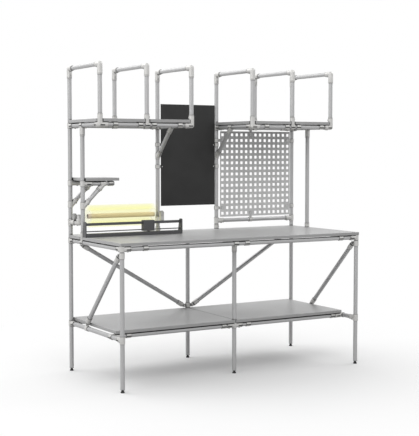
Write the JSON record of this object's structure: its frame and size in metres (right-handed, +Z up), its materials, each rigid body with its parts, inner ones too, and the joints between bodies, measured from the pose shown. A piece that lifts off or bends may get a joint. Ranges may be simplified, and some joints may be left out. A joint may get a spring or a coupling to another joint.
{
  "type": "packing table",
  "caption": "Tube-framed packing table with worktop, lower shelf, divided top shelves, perforated panel, film roll and sliding film cutter.",
  "frame": {"origin": "on the floor, midway between the four corner tubes", "axes": "+Z up, +X to the right along the worktop, +Y to the rear"},
  "size_m": [1.806, 0.806, 2.013],
  "materials": {
    "tube": "satin anodised",
    "joint": "fine cast, clear coated",
    "board": "grey melamine faced board",
    "panel": "light grey powder coat",
    "back_board": "matt dark grey",
    "steel": "zinc plated",
    "axle": "natural white plastic tube with grey end caps",
    "clear_plastic": "natural translucent plastic",
    "film": "clear pale yellow film",
    "core": "wound card tube",
    "black_plastic": "fine texture",
    "cutter": "satin dark grey"
  },
  "bodies": {
    "frame": {"post_rear_left": "tube", "post_rear_right": "tube", "post_inner_left": "tube", "post_inner_right": "tube", "post_side_left": "tube", "post_side_right": "tube", "leg_front_left": "tube", "leg_front_right": "tube", "leg_front_middle": "tube", "leg_rear_middle": "tube", "worktop_front_rail": "tube", "worktop_rear_rail": "tube", "worktop_cross_rails": "tube", "lower_side_rails": "tube", "lower_long_rails": "tube", "brace_tubes": "tube", "top_frame_left": "tube", "top_frame_right": "tube", "shelf_struts": "tube", "divider_left_outer": "tube", "divider_left_middle": "tube", "divider_left_inner": "tube", "divider_right_inner": "tube", "divider_right_middle": "tube", "divider_right_outer": "tube", "small_shelf_frame": "tube", "roll_arms": "tube", "panel_rail": "tube", "tee_joints": "joint", "corner_joints": "joint", "shelf_corner_joints": "joint", "elbow_joints": "joint", "angle_joints": "joint", "swivel_joints": "joint", "clips": "joint", "worktop": "board", "lower_shelf_left": "board", "lower_shelf_right": "board", "top_shelf_left": "board", "top_shelf_right": "board", "small_shelf": "board", "perforated_panel": "panel", "back_board": "back_board", "fasteners": "steel", "foot_inserts": "black_plastic", "cutter_base": "cutter", "cutter_end_plates": "cutter", "cutter_bars": "cutter"},
    "roll": {"roll_axle": "axle", "film_roll": "film", "roll_core": "core", "roll_cones": "clear_plastic"},
    "carriage": {"cutter_carriage": "cutter"},
    "blade": {"cutter_blade": "steel"},
    "foot_front_left": {"foot_front_left": "black_plastic"},
    "foot_front_middle": {"foot_front_middle": "black_plastic"},
    "foot_front_right": {"foot_front_right": "black_plastic"},
    "foot_rear_left": {"foot_rear_left": "black_plastic"},
    "foot_rear_middle": {"foot_rear_middle": "black_plastic"},
    "foot_rear_right": {"foot_rear_right": "black_plastic"}
  },
  "joints": [
    {"name": "roll_spin", "type": "hinge", "parent": "frame", "child": "roll", "pos_m": [-0.561, 0.327, 1.0283], "axis": [1, 0, 0], "continuous": true},
    {"name": "carriage_slide", "type": "slide", "parent": "frame", "child": "carriage", "axis": [1, 0, 0], "range_m": [-0.41, 0.2]},
    {"name": "blade_spin", "type": "hinge", "parent": "carriage", "child": "blade", "pos_m": [-0.442, 0.124, 0.9502], "axis": [0, 1, 0], "continuous": true},
    {"name": "foot_front_left_height", "type": "slide", "parent": "frame", "child": "foot_front_left", "axis": [0, 0, -1], "range_m": [0, 0.015]},
    {"name": "foot_front_middle_height", "type": "slide", "parent": "frame", "child": "foot_front_middle", "axis": [0, 0, -1], "range_m": [0, 0.015]},
    {"name": "foot_front_right_height", "type": "slide", "parent": "frame", "child": "foot_front_right", "axis": [0, 0, -1], "range_m": [0, 0.015]},
    {"name": "foot_rear_left_height", "type": "slide", "parent": "frame", "child": "foot_rear_left", "axis": [0, 0, -1], "range_m": [0, 0.015]},
    {"name": "foot_rear_middle_height", "type": "slide", "parent": "frame", "child": "foot_rear_middle", "axis": [0, 0, -1], "range_m": [0, 0.015]},
    {"name": "foot_rear_right_height", "type": "slide", "parent": "frame", "child": "foot_rear_right", "axis": [0, 0, -1], "range_m": [0, 0.015]}
  ],
  "couplings": [
    {"joint": "blade_spin", "follows": "carriage_slide", "rad_per_m": 45.455}
  ]
}
